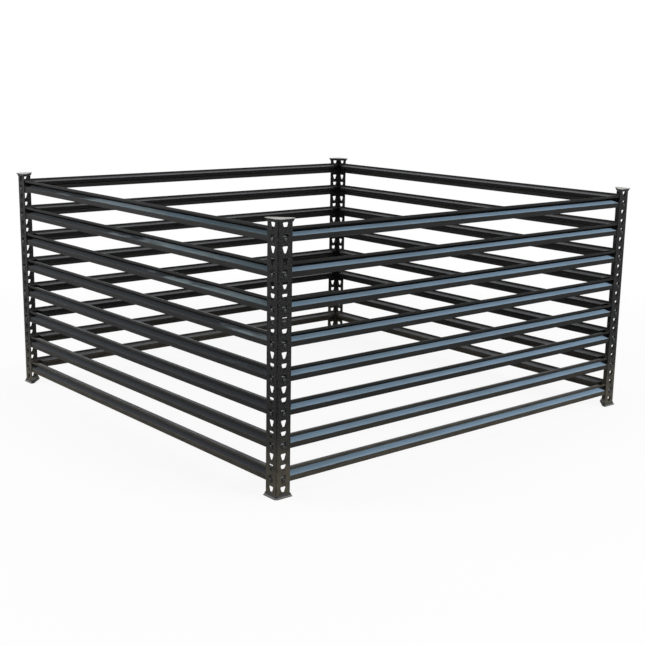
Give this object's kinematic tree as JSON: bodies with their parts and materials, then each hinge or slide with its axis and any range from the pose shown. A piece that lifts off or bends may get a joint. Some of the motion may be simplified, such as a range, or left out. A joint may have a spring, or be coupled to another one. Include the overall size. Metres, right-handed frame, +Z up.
{
  "type": "compost bin",
  "caption": "Square open steel compost bin: slotted angle posts with flared caps and feet, and grooved horizontal slats whose rivets hang in teardrop slots.",
  "frame": {"origin": "on the ground under the middle of the bin", "axes": "+Z up, -Y the front, +X to the right seen from the front; all four sides are alike"},
  "size_m": [1.2296, 1.2296, 0.6186],
  "materials": {
    "post_paint": "fine hammered black powder coat, satin",
    "slat_enamel": "smooth charcoal baked enamel, semi-gloss",
    "cap_plastic": "black moulded plastic, faint grain"
  },
  "bodies": {
    "frame": {"post_front_left": "post_paint", "foot_front_left": "cap_plastic", "cap_front_left": "cap_plastic", "post_front_right": "post_paint", "foot_front_right": "cap_plastic", "cap_front_right": "cap_plastic", "post_back_right": "post_paint", "foot_back_right": "cap_plastic", "cap_back_right": "cap_plastic", "post_back_left": "post_paint", "foot_back_left": "cap_plastic", "cap_back_left": "cap_plastic"},
    "slat_front_1": {"slat_front_1": "slat_enamel"},
    "slat_front_2": {"slat_front_2": "slat_enamel"},
    "slat_front_3": {"slat_front_3": "slat_enamel"},
    "slat_front_4": {"slat_front_4": "slat_enamel"},
    "slat_front_5": {"slat_front_5": "slat_enamel"},
    "slat_front_6": {"slat_front_6": "slat_enamel"},
    "slat_front_7": {"slat_front_7": "slat_enamel"},
    "slat_front_8": {"slat_front_8": "slat_enamel"},
    "slat_right_1": {"slat_right_1": "slat_enamel"},
    "slat_right_2": {"slat_right_2": "slat_enamel"},
    "slat_right_3": {"slat_right_3": "slat_enamel"},
    "slat_right_4": {"slat_right_4": "slat_enamel"},
    "slat_right_5": {"slat_right_5": "slat_enamel"},
    "slat_right_6": {"slat_right_6": "slat_enamel"},
    "slat_right_7": {"slat_right_7": "slat_enamel"},
    "slat_right_8": {"slat_right_8": "slat_enamel"},
    "slat_back_1": {"slat_back_1": "slat_enamel"},
    "slat_back_2": {"slat_back_2": "slat_enamel"},
    "slat_back_3": {"slat_back_3": "slat_enamel"},
    "slat_back_4": {"slat_back_4": "slat_enamel"},
    "slat_back_5": {"slat_back_5": "slat_enamel"},
    "slat_back_6": {"slat_back_6": "slat_enamel"},
    "slat_back_7": {"slat_back_7": "slat_enamel"},
    "slat_back_8": {"slat_back_8": "slat_enamel"},
    "slat_left_1": {"slat_left_1": "slat_enamel"},
    "slat_left_2": {"slat_left_2": "slat_enamel"},
    "slat_left_3": {"slat_left_3": "slat_enamel"},
    "slat_left_4": {"slat_left_4": "slat_enamel"},
    "slat_left_5": {"slat_left_5": "slat_enamel"},
    "slat_left_6": {"slat_left_6": "slat_enamel"},
    "slat_left_7": {"slat_left_7": "slat_enamel"},
    "slat_left_8": {"slat_left_8": "slat_enamel"}
  },
  "joints": [
    {"name": "lift_front_1", "type": "slide", "parent": "frame", "child": "slat_front_1", "axis": [0, 0, 1], "range_m": [0, 0.0076]},
    {"name": "lift_front_2", "type": "slide", "parent": "frame", "child": "slat_front_2", "axis": [0, 0, 1], "range_m": [0, 0.0076]},
    {"name": "lift_front_3", "type": "slide", "parent": "frame", "child": "slat_front_3", "axis": [0, 0, 1], "range_m": [0, 0.0076]},
    {"name": "lift_front_4", "type": "slide", "parent": "frame", "child": "slat_front_4", "axis": [0, 0, 1], "range_m": [0, 0.0076]},
    {"name": "lift_front_5", "type": "slide", "parent": "frame", "child": "slat_front_5", "axis": [0, 0, 1], "range_m": [0, 0.0076]},
    {"name": "lift_front_6", "type": "slide", "parent": "frame", "child": "slat_front_6", "axis": [0, 0, 1], "range_m": [0, 0.0076]},
    {"name": "lift_front_7", "type": "slide", "parent": "frame", "child": "slat_front_7", "axis": [0, 0, 1], "range_m": [0, 0.0076]},
    {"name": "lift_front_8", "type": "slide", "parent": "frame", "child": "slat_front_8", "axis": [0, 0, 1], "range_m": [0, 0.0076]},
    {"name": "lift_right_1", "type": "slide", "parent": "frame", "child": "slat_right_1", "axis": [0, 0, 1], "range_m": [0, 0.0076]},
    {"name": "lift_right_2", "type": "slide", "parent": "frame", "child": "slat_right_2", "axis": [0, 0, 1], "range_m": [0, 0.0076]},
    {"name": "lift_right_3", "type": "slide", "parent": "frame", "child": "slat_right_3", "axis": [0, 0, 1], "range_m": [0, 0.0076]},
    {"name": "lift_right_4", "type": "slide", "parent": "frame", "child": "slat_right_4", "axis": [0, 0, 1], "range_m": [0, 0.0076]},
    {"name": "lift_right_5", "type": "slide", "parent": "frame", "child": "slat_right_5", "axis": [0, 0, 1], "range_m": [0, 0.0076]},
    {"name": "lift_right_6", "type": "slide", "parent": "frame", "child": "slat_right_6", "axis": [0, 0, 1], "range_m": [0, 0.0076]},
    {"name": "lift_right_7", "type": "slide", "parent": "frame", "child": "slat_right_7", "axis": [0, 0, 1], "range_m": [0, 0.0076]},
    {"name": "lift_right_8", "type": "slide", "parent": "frame", "child": "slat_right_8", "axis": [0, 0, 1], "range_m": [0, 0.0076]},
    {"name": "lift_back_1", "type": "slide", "parent": "frame", "child": "slat_back_1", "axis": [0, 0, 1], "range_m": [0, 0.0076]},
    {"name": "lift_back_2", "type": "slide", "parent": "frame", "child": "slat_back_2", "axis": [0, 0, 1], "range_m": [0, 0.0076]},
    {"name": "lift_back_3", "type": "slide", "parent": "frame", "child": "slat_back_3", "axis": [0, 0, 1], "range_m": [0, 0.0076]},
    {"name": "lift_back_4", "type": "slide", "parent": "frame", "child": "slat_back_4", "axis": [0, 0, 1], "range_m": [0, 0.0076]},
    {"name": "lift_back_5", "type": "slide", "parent": "frame", "child": "slat_back_5", "axis": [0, 0, 1], "range_m": [0, 0.0076]},
    {"name": "lift_back_6", "type": "slide", "parent": "frame", "child": "slat_back_6", "axis": [0, 0, 1], "range_m": [0, 0.0076]},
    {"name": "lift_back_7", "type": "slide", "parent": "frame", "child": "slat_back_7", "axis": [0, 0, 1], "range_m": [0, 0.0076]},
    {"name": "lift_back_8", "type": "slide", "parent": "frame", "child": "slat_back_8", "axis": [0, 0, 1], "range_m": [0, 0.0076]},
    {"name": "lift_left_1", "type": "slide", "parent": "frame", "child": "slat_left_1", "axis": [0, 0, 1], "range_m": [0, 0.0076]},
    {"name": "lift_left_2", "type": "slide", "parent": "frame", "child": "slat_left_2", "axis": [0, 0, 1], "range_m": [0, 0.0076]},
    {"name": "lift_left_3", "type": "slide", "parent": "frame", "child": "slat_left_3", "axis": [0, 0, 1], "range_m": [0, 0.0076]},
    {"name": "lift_left_4", "type": "slide", "parent": "frame", "child": "slat_left_4", "axis": [0, 0, 1], "range_m": [0, 0.0076]},
    {"name": "lift_left_5", "type": "slide", "parent": "frame", "child": "slat_left_5", "axis": [0, 0, 1], "range_m": [0, 0.0076]},
    {"name": "lift_left_6", "type": "slide", "parent": "frame", "child": "slat_left_6", "axis": [0, 0, 1], "range_m": [0, 0.0076]},
    {"name": "lift_left_7", "type": "slide", "parent": "frame", "child": "slat_left_7", "axis": [0, 0, 1], "range_m": [0, 0.0076]},
    {"name": "lift_left_8", "type": "slide", "parent": "frame", "child": "slat_left_8", "axis": [0, 0, 1], "range_m": [0, 0.0076]}
  ]
}
